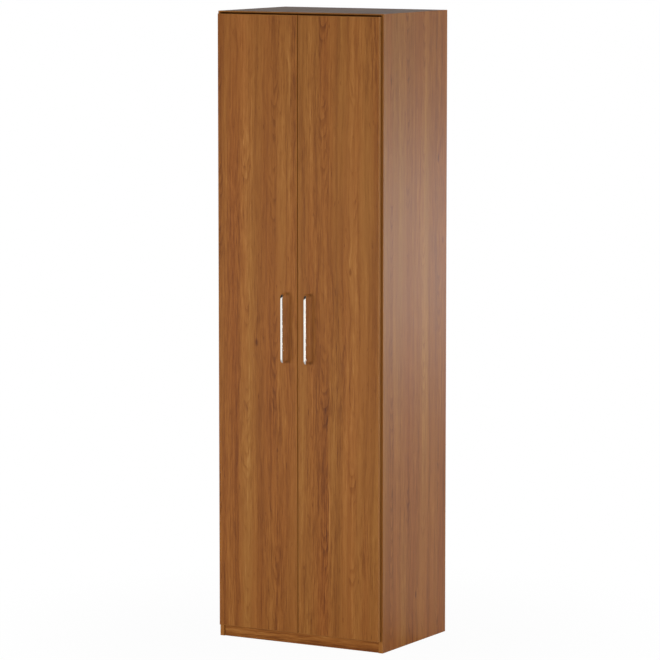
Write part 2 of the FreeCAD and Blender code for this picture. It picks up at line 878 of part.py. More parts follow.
def check_document():
    """Stop if any object failed or any sub-part has no sound shape."""
    doc.recompute()
    for item in doc.Objects:
        if "Invalid" in item.State or "Error" in item.State:
            raise RuntimeError(f"{item.Name} ({item.Label}) failed: {item.State}")
    for piece in nodes:
        if piece.Shape.isNull() or not piece.Shape.isValid():
            raise RuntimeError(f"{piece.Label} has no valid shape")


def write_parts():
    """Write every sub-part to a file of its own."""
    os.makedirs("parts", exist_ok=True)
    for piece in nodes:
        piece.Shape.exportStep(os.path.join("parts", piece.Label + ".step"))
        print(piece.Label, "solids:", len(piece.Shape.Solids))


fill_sheet()
for side in (LEFT, RIGHT):
    side_panel(side)
level_boards()
lower_shelf()
plinth_boards()
back_panel()
carcass_edging()
cams_and_bolts()
dowels()
shelf_pins()
hanging_rail()
rail_holders()
back_panel_nails()
door_bumpers()
dust_seal()
for side in (LEFT, RIGHT):
    hinges_on_carcass(side)
    door_panel(side)
    door_edging(side)
    hinges_on_door(side)
    door_handle(side)
check_document()
write_parts()
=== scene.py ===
"""Looks of the two-door wardrobe: wood-look boards, chrome bow handles and the fittings inside."""
import json
from math import cos, pi, radians, sin

import bmesh
import bpy
from mathutils import Matrix, Vector


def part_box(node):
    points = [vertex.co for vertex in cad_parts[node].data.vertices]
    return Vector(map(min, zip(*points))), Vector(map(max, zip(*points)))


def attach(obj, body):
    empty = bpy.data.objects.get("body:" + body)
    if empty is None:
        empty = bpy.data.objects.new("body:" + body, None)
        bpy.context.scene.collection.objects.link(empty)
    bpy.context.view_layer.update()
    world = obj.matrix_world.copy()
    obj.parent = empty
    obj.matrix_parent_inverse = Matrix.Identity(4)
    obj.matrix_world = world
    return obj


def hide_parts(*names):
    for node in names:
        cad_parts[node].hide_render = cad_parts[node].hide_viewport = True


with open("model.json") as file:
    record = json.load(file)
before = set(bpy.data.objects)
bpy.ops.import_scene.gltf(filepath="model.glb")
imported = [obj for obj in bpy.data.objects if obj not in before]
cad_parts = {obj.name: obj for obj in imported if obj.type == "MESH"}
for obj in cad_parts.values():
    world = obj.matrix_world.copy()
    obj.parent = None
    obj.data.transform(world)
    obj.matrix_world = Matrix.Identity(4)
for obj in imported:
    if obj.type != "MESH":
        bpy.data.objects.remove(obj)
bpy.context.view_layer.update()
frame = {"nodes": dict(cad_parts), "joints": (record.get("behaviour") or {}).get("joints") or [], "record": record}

NODES = frame["nodes"]
X, Y, Z = Vector((1, 0, 0)), Vector((0, 1, 0)), Vector((0, 0, 1))
MM = 0.001
SIDES = ("left", "right")
# a distance that counts as none, and the cosine of an angle that counts as none
TINY = 1e-5
ALIGNED = 0.99
# edges under the first angle are shaded smooth, and those over the second count as sharp
SMOOTH_ANGLE, SHARP_ANGLE = radians(35), radians(50)
BODY_OF = {node: body for body, nodes in frame["record"]["behaviour"]["bodies"].items() for node in nodes}
# the left door's hinge axis
PIN = Vector(frame["joints"][0]["pos_m"])
# how far a tool reaches past what it cuts, or a piece into what it is welded to
PAST = 1 * MM
# sizes that the boxes don't give: edging, handles, screws and nails
EDGING = 2 * MM
HANDLE_BEND = 13 * MM
SCREW_HEAD = 2 * MM
SHANKS = {
    "plate_screws_left": 5 * MM,
    "arm_screws_left": 5 * MM,
    "cup_screws_left": 3.5 * MM,
    "handle_screws_left": 4 * MM,
    "rail_holder_screws": 4 * MM,
}
NAIL = 1.6 * MM
NAIL_HEAD = 0.8 * MM
# shares: a rim's of its head's height, a point's of its shank's width and a tip's of its driver bit's width
RIM_SHARE, POINT_SHARE, TIP_SHARE = 0.6, 0.2, 0.45
# shares: a cross recess's reach and width of its head's width, and its depth of the head's height
RECESS_REACH, RECESS_WIDTH, RECESS_DEPTH = 0.28, 0.11, 0.7
# cams: the bolt's mouth, the rounded rim, the sunk face and the reach, width and depth of the cross slot
CAM_MOUTH = 8 * MM
CAM_MOUTH_END = 2 * MM
CAM_EDGE = 0.4 * MM
CAM_RIM = 1.1 * MM
CAM_SINK = 0.5 * MM
CAM_CROSS = (3.6 * MM, 1.6 * MM, 5 * MM)
# bumpers and shelf pins: shares of their height that are rounded off
DOME_SHARE, PIN_SHARE = 0.6, 0.7
# shelf pins, hanging rail, its holders and the dust seal
PIN_REST = 9 * MM
PIN_EDGE = 0.5 * MM
PIN_PEG = 5 * MM
PEG_END = 0.7 * MM
RAIL_PLATE = 3 * MM
RAIL_PLAY = 0.1 * MM
RAIL_WALL = 1.2 * MM
HOLDER_EDGE = 0.5 * MM
# the share of a width that rounds its end off nearly to a half circle
OVAL_SHARE = 0.499
SEAL_EDGE = 0.6 * MM
SEAL_GROOVE = 0.8 * MM
# hinge plates
WING = 18 * MM
WING_ROUND = WING * 0.4
PLATE = 2 * MM
RIB = 12 * MM
RIB_ROUND = RIB * 0.25
PLATE_EDGE = 0.4 * MM
# hinge arms
SHEET = 1.2 * MM
ROLL = radians(300)
NECK = 10 * MM
NECK_RISE = 20 * MM
NECK_BEND = 2 * MM
SHOULDER = 10 * MM
SHOULDER_BEND = 0.6 * MM
CHANNEL = 3.4 * MM
CHANNEL_BEND = 0.9 * MM
SLOT = 5.4 * MM
SLOT_ROUND = SLOT * 0.49
# hinge cups
CUP_SIDES = 56
CUP_WALL = 1 * MM
CUP_FOOT = 1.5 * MM
CUP_FLOOR = 1.2 * MM
FLANGE = 1.2 * MM
FLANGE_WIDTH = 16 * MM
FLANGE_SHIFT = 4 * MM
LUG = 5 * MM
LUG_LINE = 8 * MM
LUG_REACH = 2.75 * MM
LUG_ROUND = LUG_REACH * 0.9


def middle(node):
    """The middle of a CAD node's box."""
    low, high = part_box(node)
    return (low + high) / 2


# Finishes

class Finish:
    """A finish in the making: adds shader nodes and joins them up."""

    def __init__(self, name):
        self.material = bpy.data.materials.new(name)
        self.material.use_nodes = True
        self.tree = self.material.node_tree
        self.shader = self.tree.nodes["Principled BSDF"]

    def add(self, kind):
        return self.tree.nodes.new("ShaderNode" + kind)

    def feed(self, socket, value):
        if isinstance(value, bpy.types.NodeSocket):
            self.tree.links.new(value, socket)
        else:
            socket.default_value = value

    def set(self, **values):
        """Values or sockets for the shader; underscores stand for the spaces in a socket's name."""
        for name, value in values.items():
            self.feed(self.shader.inputs[name.replace("_", " ")], value)

    def place(self, centre=(0, 0, 0), turn=(0, 0, 0)):
        """Object coordinates, seen from a frame with this centre and turn."""
        mapping = self.add("Mapping")
        mapping.vector_type = "TEXTURE"
        mapping.inputs["Location"].default_value = centre
        mapping.inputs["Rotation"].default_value = turn
        self.feed(mapping.inputs["Vector"], self.add("TexCoord").outputs["Object"])
        return mapping.outputs["Vector"]

    def stretch(self, vector, scale):
        mapping = self.add("Mapping")
        mapping.inputs["Scale"].default_value = scale
        self.feed(mapping.inputs["Vector"], vector)
        return mapping.outputs["Vector"]

    def shift(self, vector, by):
        return self.vector_math("ADD", vector, by)["Vector"]

    def vector_math(self, operation, *values):
        node = self.add("VectorMath")
        node.operation = operation
        for socket, value in zip(node.inputs, values):
            self.feed(socket, value)
        return node.outputs

    def length(self, vector):
        return self.vector_math("LENGTH", vector)["Value"]

    def join(self, x, y, z):
        node = self.add("CombineXYZ")
        for socket, value in zip(node.inputs, (x, y, z)):
            self.feed(socket, value)
        return node.outputs[0]

    def total(self, first, *others):
        """The sum of several values."""
        for other in others:
            first = self.math("ADD", first, other)
        return first

    def times(self, first, *others):
        """The product of several values."""
        for other in others:
            first = self.math("MULTIPLY", first, other)
        return first

    def axes(self, vector):
        split = self.add("SeparateXYZ")
        self.feed(split.inputs[0], vector)
        return split.outputs

    def math(self, operation, first, second=0.0):
        node = self.add("Math")
        node.operation = operation
        self.feed(node.inputs[0], first)
        self.feed(node.inputs[1], second)
        return node.outputs[0]

    def noise(self, vector, detail=2.0, roughness=0.5, scale=1.0):
        node = self.add("TexNoise")
        self.feed(node.inputs["Vector"], vector)
        node.inputs["Scale"].default_value = scale
        node.inputs["Detail"].default_value = detail
        node.inputs["Roughness"].default_value = roughness
        return node.outputs["Fac"]

    def span(self, value, low, high, to_low=0.0, to_high=1.0, soft=False):
        """A value carried from one range to another."""
        node = self.add("MapRange")
        if soft:
            node.interpolation_type = "SMOOTHSTEP"
        for number, part in enumerate((value, low, high, to_low, to_high)):
            self.feed(node.inputs[number], part)
        return node.outputs[0]

    def fade(self, value, low, high):
        """A soft step, from nothing at one value to all at another."""
        return self.span(value, low, high, 0.0, 1.0, True)

    def ramp(self, value, stops):
        node = self.add("ValToRGB")
        elements = node.color_ramp.elements
        while len(elements) < len(stops):
            elements.new(0.5)
        for element, (position, colour) in zip(elements, stops):
            element.position = position
            element.color = (*colour, 1)
        self.feed(node.inputs[0], value)
        return node.outputs[0]

    def tint(self, first, second):
        """One colour multiplied by another."""
        node = self.add("Mix")
        node.data_type = "RGBA"
        node.blend_type = "MULTIPLY"
        for number, value in ((0, 1.0), (6, first), (7, second)):
            self.feed(node.inputs[number], value)
        return node.outputs[2]

    def bump(self, height, strength, distance):
        node = self.add("Bump")
        node.inputs["Strength"].default_value = strength
        node.inputs["Distance"].default_value = distance
        self.feed(node.inputs["Height"], height)
        self.feed(self.shader.inputs["Normal"], node.outputs["Normal"])


def grain_turn(across, along):
    """The turn of a frame whose X runs across the grain and whose Z runs along it."""
    through = along.cross(across)
    return Matrix((across, through, along)).transposed().to_euler()


WOOD_STOPS = [
    (0.0, (0.090, 0.024, 0.004)),
    (0.28, (0.190, 0.058, 0.009)),
    (0.5, (0.272, 0.095, 0.017)),
    (0.74, (0.350, 0.137, 0.029)),
    (1.0, (0.450, 0.205, 0.058)),
]
# waves of the figure: how many to a metre across the grain and along it, their detail and roughness
WAVES = {
    "drift": (4.0, 0.9, 2.0, 0.5),
    "ripple": (26.0, 11.0, 3.0, 0.6),
    "sway": (30.0, 16.0, 3.0, 0.6),
    "patches": (22.0, 5.0, 2.0, 0.5),
    "fibre": (310.0, 6.0, 4.0, 0.7),
    "lively": (9.0, 1.4, 2.0, 0.5),
    "broad": (13.0, 0.5, 2.0, 0.5),
    "bands": (60.0, 0.9, 3.0, 0.6),
    "dashes": (170.0, 14.0, 3.0, 0.65),
    "pores": (800.0, 32.0, 1.0, 0.5),
    "flecks": (130.0, 22.0, 1.0, 0.5),
}
# how far each part of the figure lightens or darkens it
SHADES = {
    "fibre": 0.22,
    "dashes": 0.22,
    "bands": 0.24,
    "broad": 0.12,
    "heart": 0.17,
    "flame": -0.24,
    "flecks": -0.24,
    "pores": -0.08,
    "near_knot": 0.06,
    "knot": -0.45,
}
# where each soft mark begins and where it is full: distances in metres or in cells, shares and noise levels
FADES = {
    "near_knot": (0.20, 0.0),
    "knot": (0.034, 0.008),
    "heart": (0.045, 0.012),
    "flame_tail": (0.3, 0.85),
    "flame_tip": (1.0, 0.9),
    "flame_patch": (0.47, 0.62),
    "flame_side": (0.024, 0.008),
    "pores": (0.62, 0.74),
    "flecks": (0.66, 0.78),
}
# noise levels between which a wave swings, and how lively the streaks are at two levels
SWING = (0.25, 0.75)
LIVELY = (0.35, 0.65, 0.4, 1.4)
# how far the grain wanders sideways, and is pushed aside by a knot
DRIFT, RIPPLE, ROUND_KNOT = 0.022, 0.006, 0.010
# knots: cells of their pattern to a metre across, through and along, and the share of cells without one
KNOT_CELLS = (4.4, 1.0, 1.7)
KNOTLESS = 0.62
# columns of flame marks: width, spacing along the grain, how steeply the marks arch and how far they sway
FLAME_COLUMN = 0.115
FLAME_STEP = 0.055
FLAME_ARCH = -170.0
FLAME_SWAY = 0.035
# tints of the broad bands, and the gloss of doors and of all other boards and strips
REDDER, YELLOWER = (1.04, 0.95, 0.92), (0.97, 1.03, 0.98)
DOOR_GLOSS, BOARD_GLOSS = 0.26, 0.2
# streaks of the edge strips to a metre across and along, and the middle of the carcass's strips
STRIP_STREAKS = (300.0, 3.0)
STRIP_MIDDLE = (0, 0, 1.1)


class WoodFigure(Finish):
    """A printed wood figure in the making."""

    def wave(self, kind, vector):
        """Noise drawn out along the grain."""
        close, far, detail, roughness = WAVES[kind]
        return self.noise(self.stretch(vector, (close, close, far)), detail, roughness)

    def wander(self, kind, vector, reach):
        """A wave that moves the figure to one side and the other, up to a reach."""
        return self.span(self.wave(kind, vector), 0, 1, -reach, reach)

    def swing(self, kind, wave):
        """A wave that lightens and darkens the figure, as far as its shade goes."""
        return self.span(wave, *SWING, -SHADES[kind], SHADES[kind])

    def mark(self, kind, value):
        """A soft mark, by a value that says how near it is."""
        return self.fade(value, *FADES[kind])

    def knots(self, place):
        """Knots and the wood near them: the points of a few cells of a coarse pattern."""
        cells = self.add("TexVoronoi")
        cells.voronoi_dimensions = "2D"
        cells.inputs["Scale"].default_value = 1.0
        across, through, along = self.axes(self.stretch(place, KNOT_CELLS))
        self.feed(cells.inputs["Vector"], self.join(across, along, through))
        kept = self.math("GREATER_THAN", self.axes(cells.outputs["Color"])[0], KNOTLESS)
        far = cells.outputs["Distance"]
        return self.times(self.mark("knot", far), kept), self.times(self.mark("near_knot", far), kept)

    def flames(self, place, beside, along):
        """Short arched lines, stacked in columns and broken off by chance."""
        turn = self.math("FLOORED_MODULO", self.total(beside, FLAME_COLUMN / 2), FLAME_COLUMN)
        column = self.math("SUBTRACT", turn, FLAME_COLUMN / 2)
        arch = self.times(column, column, FLAME_ARCH)
        rise = self.total(along, arch, self.wander("sway", place, FLAME_SWAY))
        share = self.math("FRACT", self.math("DIVIDE", rise, FLAME_STEP))
        return self.times(
            self.mark("flame_tail", share),
            self.mark("flame_tip", share),
            self.mark("flame_patch", self.wave("patches", place)),
            self.mark("flame_side", self.math("ABSOLUTE", column)),
        )


def wood_finish(name, centre, across, along, pith, seed, strength, gloss):
    """Printed wood: long bands, fibre streaks that come and go, small flame marks, pores and knots.

    The palest band lies at pith across the board, and the columns of flame marks are counted from it.
    """
    finish = WoodFigure(name)
    point = finish.place(centre, grain_turn(across, along))
    seeded = finish.shift(point, (seed, seed * 0.7, seed * 1.3))
    across_place, through_place, along_place = finish.axes(point)
    knot, near_knot = finish.knots(seeded)
    # the grain wanders sideways, slowly and in small ripples, and flows round the knots
    lateral = finish.total(
        across_place,
        finish.wander("drift", seeded, DRIFT),
        finish.wander("ripple", seeded, RIPPLE),
        finish.times(near_knot, ROUND_KNOT),
    )
    grain = finish.shift(finish.join(lateral, through_place, along_place), (seed, seed, seed))
    beside = finish.math("SUBTRACT", lateral, pith)
    # streaks that come and go, bands, and marks that lighten or darken them
    fibre = finish.wave("fibre", grain)
    broad = finish.wave("broad", grain)
    lively = finish.span(finish.wave("lively", grain), *LIVELY)
    dashes = finish.wave("dashes", grain)
    streaks = finish.total(finish.swing("fibre", fibre), finish.swing("dashes", dashes))
    pores = finish.mark("pores", finish.wave("pores", grain))
    marks = {
        "heart": finish.mark("heart", finish.math("ABSOLUTE", beside)),
        "flame": finish.flames(seeded, beside, along_place),
        "flecks": finish.mark("flecks", finish.wave("flecks", grain)),
        "pores": pores,
        "near_knot": near_knot,
        "knot": knot,
    }
    figure = finish.total(
        finish.times(streaks, lively),
        finish.swing("bands", finish.wave("bands", grain)),
        finish.swing("broad", broad),
        *[finish.times(value, SHADES[kind]) for kind, value in marks.items()],
    )
    tone = finish.span(figure, -1, 1, 0.5 - strength, 0.5 + strength)
    warmth = finish.ramp(finish.span(broad, 0.3, 0.7), [(0.0, REDDER), (1.0, YELLOWER)])
    finish.set(Base_Color=finish.tint(finish.ramp(tone, WOOD_STOPS), warmth),
               Roughness=finish.span(fibre, 0.2, 0.8, 0.38, 0.48), Specular_IOR_Level=gloss)
    finish.bump(finish.math("SUBTRACT", fibre, pores), 0.12, 0.0002)
    return finish.material


def strip_finish(name, centre, axis, compare, edge, seed):
    """Edge strip: straight streaks along the strip, turned where the strip lies level.

    It lies level where the way from the centre, along an axis, is over or under an edge. Its tones run lighter
    than the boards': painted light that lifts the shaded reveal beside the doors.
    """
    across, along = STRIP_STREAKS
    finish = Finish(name)
    point = finish.place(centre)
    seeded = finish.shift(point, (seed, seed, seed))
    upright = finish.noise(finish.stretch(seeded, (across, across, along)), 3.0, 0.6)
    level = finish.noise(finish.stretch(seeded, (along, across, across)), 3.0, 0.6)
    lies_level = finish.math(compare, finish.math("ABSOLUTE", finish.axes(point)[axis]), edge)
    stands = finish.math("SUBTRACT", 1.0, lies_level)
    streak = finish.total(finish.times(lies_level, level), finish.times(stands, upright))
    # tones from the wood's middle up to its palest, lighter than the boards: painted light for the shaded reveal
    # beside the doors
    finish.set(Base_Color=finish.ramp(finish.span(streak, 0.2, 0.8, 0.42, 1.0), WOOD_STOPS),
               Roughness=finish.span(streak, 0.2, 0.8, 0.48, 0.58), Specular_IOR_Level=BOARD_GLOSS)
    finish.bump(streak, 0.1, 0.0002)
    return finish.material


def hardboard_finish():
    """Pressed fibre board: mottled brown with short pale and dark fibres."""
    finish = Finish("pressed_hardboard")
    point = finish.place()
    cloud = finish.noise(point, 4.0, 0.6, 9.0)
    fibres = finish.noise(finish.stretch(point, (260.0, 260.0, 900.0)), 3.0, 0.7)
    shade = finish.total(finish.times(cloud, 0.45), finish.times(fibres, 0.55))
    finish.set(Base_Color=finish.ramp(shade, [(0.3, (0.135, 0.075, 0.038)), (0.5, (0.235, 0.140, 0.075)),
                                              (0.72, (0.330, 0.215, 0.125))]),
               Roughness=finish.span(fibres, 0.2, 0.8, 0.62, 0.80))
    finish.bump(fibres, 0.25, 0.0003)
    return finish.material


def metal_finish(name, dark, light, smooth, rough, stretch, bump):
    """Bare or plated metal: faint drawn lines and cloudy handling marks in colour and gloss."""
    finish = Finish(name)
    point = finish.place()
    cloud = finish.noise(point, 3.0, 0.6, 60.0)
    lines = finish.noise(finish.stretch(point, stretch), 2.0, 0.6)
    shade = finish.total(finish.times(cloud, 0.5), finish.times(lines, 0.5))
    finish.set(Base_Color=finish.ramp(shade, [(0.3, dark), (0.7, light)]),
               Roughness=finish.span(shade, 0.3, 0.7, smooth, rough), Metallic=1.0)
    finish.bump(lines, bump, 0.0001)
    return finish.material


def beech_finish():
    """Raw pale wood with fine lines along the peg."""
    finish = Finish("raw_beech")
    point = finish.place()
    lines = finish.noise(finish.stretch(point, (30.0, 900.0, 900.0)), 3.0, 0.6)
    finish.set(Base_Color=finish.ramp(lines, [(0.3, (0.46, 0.29, 0.15)), (0.7, (0.66, 0.47, 0.28))]),
               Roughness=finish.span(lines, 0.3, 0.7, 0.55, 0.70))
    finish.bump(lines, 0.2, 0.0002)
    return finish.material


def rubber_finish(name, dark, light, smooth, rough, **even):
    """Soft rubber with a fine skin; what is even all over is set as it is given."""
    finish = Finish(name)
    point = finish.place()
    skin = finish.noise(point, 3.0, 0.6, 1500.0)
    cloud = finish.noise(point, 2.0, 0.5, 40.0)
    finish.set(Base_Color=finish.ramp(cloud, [(0.3, dark), (0.7, light)]),
               Roughness=finish.span(skin, 0.3, 0.7, smooth, rough), **even)
    finish.bump(skin, 0.15, 0.0001)
    return finish.material


def dress(obj, material):
    """Give an object one material only."""
    obj.data.materials.clear()
    obj.data.materials.append(material)


CHROME = metal_finish("polished_chrome", (0.84, 0.82, 0.77), (0.95, 0.93, 0.88), 0.045, 0.065,
                      (700.0, 700.0, 40.0), 0.0006)
NICKEL = metal_finish("nickel_plate", (0.46, 0.45, 0.43), (0.60, 0.59, 0.57), 0.26, 0.38,
                      (500.0, 500.0, 90.0), 0.08)
ZINC = metal_finish("bright_zinc_plate", (0.50, 0.51, 0.53), (0.66, 0.67, 0.69), 0.24, 0.36,
                    (800.0, 800.0, 800.0), 0.08)
CAST = metal_finish("raw_zinc_casting", (0.34, 0.34, 0.35), (0.50, 0.50, 0.51), 0.42, 0.58,
                    (1300.0, 1300.0, 1300.0), 0.3)
BEECH = beech_finish()
CLEAR = rubber_finish("soft_clear_rubber", (0.60, 0.60, 0.58), (0.74, 0.74, 0.72), 0.30, 0.42,
                      Transmission_Weight=0.4)
# a soft seal whose dark brown is partly painted shade: the colour of the shadow gap above the doors
SEAL_RUBBER_AND_SHADE = rubber_finish("seal_rubber_and_painted_shade", (0.080, 0.024, 0.002), (0.115, 0.036, 0.003), 0.75, 0.90,
                            Specular_IOR_Level=0.1)

# boards: the way across their grain and along it, the place of the palest band, a seed, strength and gloss
for node, *figure in (
    ("door_panel_left", X, Z, -0.045, 3.1, 0.86, DOOR_GLOSS),
    ("door_panel_right", X, Z, 0.06, 7.4, 0.86, DOOR_GLOSS),
    ("side_panel_left", Y, Z, 0.06, 11.3, 0.65, BOARD_GLOSS),
    ("side_panel_right", Y, Z, 0.06, 15.9, 0.65, BOARD_GLOSS),
    ("top_panel", Y, X, 0.05, 21.7, 1.0, BOARD_GLOSS),
    ("bottom_panel", Y, X, 0.05, 25.0, 1.0, BOARD_GLOSS),
    ("hat_shelf", Y, X, 0.05, 28.3, 1.0, BOARD_GLOSS),
    ("lower_shelf", Y, X, 0.05, 31.6, 1.0, BOARD_GLOSS),
    ("plinth_front", Z, X, 0.03, 41.2, 1.0, BOARD_GLOSS),
    ("plinth_rear", Z, X, 0.03, 44.1, 1.0, BOARD_GLOSS),
):
    dress(NODES[node], wood_finish(node + "_laminate", middle(node), *figure))
for node in ("door_edging_left", "door_edging_right"):
    level_from = (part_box(node)[1].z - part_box(node)[0].z) / 2 - EDGING
    dress(NODES[node], strip_finish(node + "_strip", middle(node), axis=2, compare="GREATER_THAN",
                                    edge=level_from, seed=5.0))
level_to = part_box("side_panel_right")[0].x
dress(NODES["carcass_edging"], strip_finish("carcass_strip", STRIP_MIDDLE, axis=0, compare="LESS_THAN",
                                            edge=level_to, seed=9.0))
dress(NODES["back_panel"], hardboard_finish())

for node, material in (("hinge_pins_left", NICKEL), ("hinge_pins_right", NICKEL), ("cam_bolts", ZINC),
                       ("dowels", BEECH)):
    dress(NODES[node], material)


# Modelling

def begin(add, **how):
    """Add a starting shape with nothing else selected, and open it for editing."""
    bpy.ops.object.select_all(action="DESELECT")
    add(**how)
    bpy.ops.object.transform_apply(location=True, rotation=True, scale=True)
    bpy.ops.object.mode_set(mode="EDIT")


def block(size, centre):
    """Begin with a block of this size."""
    begin(bpy.ops.mesh.primitive_cube_add, size=1, location=centre)
    bpy.ops.transform.resize(value=size, center_override=centre)


def round_bar(diameter, bottom, top, sides, centre=(0, 0)):
    """Begin with an upright round bar."""
    begin(bpy.ops.mesh.primitive_cylinder_add, vertices=sides, radius=diameter / 2, depth=top - bottom,
          location=(*centre, (top + bottom) / 2))


def pick(kind, test):
    """Select the faces, edges or corners of the open piece that pass a test."""
    bpy.ops.mesh.select_mode(type=kind)
    bpy.ops.mesh.select_all(action="DESELECT")
    data = bpy.context.object.data
    mesh = bmesh.from_edit_mesh(data)
    for part in {"FACE": mesh.faces, "EDGE": mesh.edges, "VERT": mesh.verts}[kind]:
        if test(part):
            part.select_set(True)
    bmesh.update_edit_mesh(data)


def looks(way):
    """A test for faces that look one way."""
    return lambda face: face.normal.dot(way) > ALIGNED


def runs(axis):
    """A test for edges that run along an axis."""
    return lambda edge: abs((edge.verts[1].co - edge.verts[0].co).normalized().dot(axis)) > ALIGNED


def at(axis, place):
    """A test for edges that lie at one place along an axis."""
    return lambda edge: all(abs(corner.co.dot(axis) - place) < TINY for corner in edge.verts)


def draw_out(by):
    """Extrude what is selected."""
    bpy.ops.mesh.extrude_region_move(TRANSFORM_OT_translate={"value": by})


def resize(by):
    """Scale what is selected about its own middle."""
    mesh = bmesh.from_edit_mesh(bpy.context.object.data)
    corners = [corner.co for corner in mesh.verts if corner.select]
    bpy.ops.transform.resize(value=by, center_override=sum(corners, Vector()) / len(corners))


def round_off(offset, segments):
    """Bevel the edges that are selected."""
    bpy.ops.mesh.bevel(offset=offset, segments=segments, affect="EDGES")


def close():
    """Merge doubled corners, face the open piece outwards and smooth it between its edges."""
    bpy.ops.mesh.select_all(action="SELECT")
    bpy.ops.mesh.remove_doubles(threshold=TINY / 10)
    bpy.ops.mesh.normals_make_consistent(inside=False)
    bpy.ops.object.mode_set(mode="OBJECT")
    bpy.ops.object.shade_smooth_by_angle(angle=SMOOTH_ANGLE)
    return bpy.context.object


def refine(piece, kind, **settings):
    """Give a piece a modifier and apply it."""
    bpy.ops.object.select_all(action="DESELECT")
    bpy.context.view_layer.objects.active = piece
    piece.select_set(True)
    modifier = piece.modifiers.new(kind.lower(), kind)
    for name, value in settings.items():
        setattr(modifier, name, value)
    bpy.ops.object.modifier_apply(modifier=modifier.name)
    bpy.ops.object.shade_smooth_by_angle(angle=SMOOTH_ANGLE)
    return piece


def soften(piece, width, segments):
    """Bevel all sharp edges of a closed piece."""
    return refine(piece, "BEVEL", width=width, segments=segments, limit_method="ANGLE",
                  angle_limit=SHARP_ANGLE)


def combine(piece, tool, operation):
    """Cut a tool out of a piece, weld it on or keep what the two share; the tool is used up."""
    refine(piece, "BOOLEAN", object=tool, operation=operation, solver="EXACT")
    bpy.data.objects.remove(tool)
    return piece


def solids(node):
    """The boxes of a CAD node's separate solids, in order of place."""
    mesh = bmesh.new()
    mesh.from_mesh(NODES[node].data)
    bmesh.ops.remove_doubles(mesh, verts=mesh.verts, dist=TINY / 10)
    waiting = set(mesh.verts)
    boxes = []
    while waiting:
        front = [waiting.pop()]
        corners = []
        while front:
            corner = front.pop()
            corners.append(corner.co.copy())
            beside = {edge.other_vert(corner) for edge in corner.link_edges} & waiting
            waiting -= beside
            front.extend(beside)
        boxes.append(tuple(tuple(pick_end(place) for place in zip(*corners)) for pick_end in (min, max)))
    mesh.free()
    return [(Vector(low), Vector(high)) for low, high in sorted(boxes)]


def spot(box, way, side):
    """A solid's own frame: Z the way it looks, X to the side, origin mid-face on the side it looks to."""
    low, high = box
    origin = (low + high) / 2 + way * abs((high - low).dot(way)) / 2
    turn = Matrix((side, way.cross(side), way)).transposed()
    return Matrix.Translation(origin) @ turn.to_4x4()


def spots(node, way, side):
    return [spot(box, way, side) for box in solids(node)]


def install(piece, node, material):
    """Let a finished piece stand for a CAD node: its body and one material."""
    piece.name = node.replace("door_handle", "bow_handle") + "_modelled"
    dress(piece, material)
    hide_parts(node)
    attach(piece, BODY_OF[node])


def set_out(model, node, places, material):
    """Copies of a model at these places, joined into the piece that stands for a CAD node."""
    bpy.ops.object.select_all(action="DESELECT")
    for place in places:
        copy = model.copy()
        copy.data = model.data.copy()
        copy.matrix_world = place
        bpy.context.collection.objects.link(copy)
        copy.select_set(True)
    bpy.context.view_layer.objects.active = copy
    bpy.ops.object.transform_apply(location=True, rotation=True, scale=True)
    if len(places) > 1:
        bpy.ops.object.join()
    install(bpy.context.object, node, material)


def extent(node):
    """The size of the first solid of a CAD node."""
    low, high = solids(node)[0]
    return high - low


# Bow handles

def bow_handle(node):
    """Round bar bent to a bow: a leg out of the door, a bend, the grip, a bend and the second leg."""
    low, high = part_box(node)
    bar = high.x - low.x
    leg = (high.y - low.y) - bar / 2 - HANDLE_BEND
    grip = (high.z - low.z) - bar - 2 * HANDLE_BEND
    x = (low.x + high.x) / 2
    top = high.z - bar / 2
    begin(bpy.ops.mesh.primitive_circle_add, vertices=28, radius=bar / 2, fill_type="NGON",
          location=(x, high.y, top), rotation=(pi / 2, 0, 0))
    bpy.ops.mesh.select_all(action="SELECT")
    draw_out((0, -leg, 0))
    bend = {"steps": 10, "angle": -pi / 2, "axis": (1, 0, 0), "dupli": False}
    bpy.ops.mesh.spin(center=(x, high.y - leg, top - HANDLE_BEND), **bend)
    draw_out((0, 0, -grip))
    bpy.ops.mesh.spin(center=(x, high.y - leg, top - HANDLE_BEND - grip), **bend)
    draw_out((0, leg, 0))
    return close()


# Screws, nails and cams

def headed_bar(head, head_height, shank, length, sides):
    """A flat head with a rounded rim, its top at the origin, and a shank that ends in a point."""
    round_bar(head, -head_height, 0, sides)
    pick("EDGE", at(Z, 0))
    round_off(head_height * RIM_SHARE, segments=3)
    pick("FACE", looks(-Z))
    bpy.ops.mesh.inset(thickness=(head - shank) / 2)
    draw_out((0, 0, -length + shank))
    draw_out((0, 0, -shank))
    resize((POINT_SHARE, POINT_SHARE, 1))
    return close()


def cross_cutter(reach, width, depth):
    """A tapered four-armed driver bit, for cutting recesses."""
    block((width, width, 2 * depth), (0, 0, 0))
    pick("FACE", lambda face: not (looks(Z)(face) or looks(-Z)(face)))
    bpy.ops.mesh.extrude_faces_move(TRANSFORM_OT_shrink_fatten={"value": reach - width / 2})
    pick("FACE", looks(-Z))
    resize((TIP_SHARE, TIP_SHARE, 1))
    return close()


def cross_screw(node, way):
    """A screw with a cross recess, as large as the screws of a CAD node."""
    size = extent(node)
    length = abs(size.dot(way)) - SCREW_HEAD
    head = size.z
    screw = headed_bar(head, SCREW_HEAD, SHANKS[node], length, sides=24)
    recess = cross_cutter(head * RECESS_REACH, head * RECESS_WIDTH, SCREW_HEAD * RECESS_DEPTH)
    return combine(screw, recess, "DIFFERENCE")


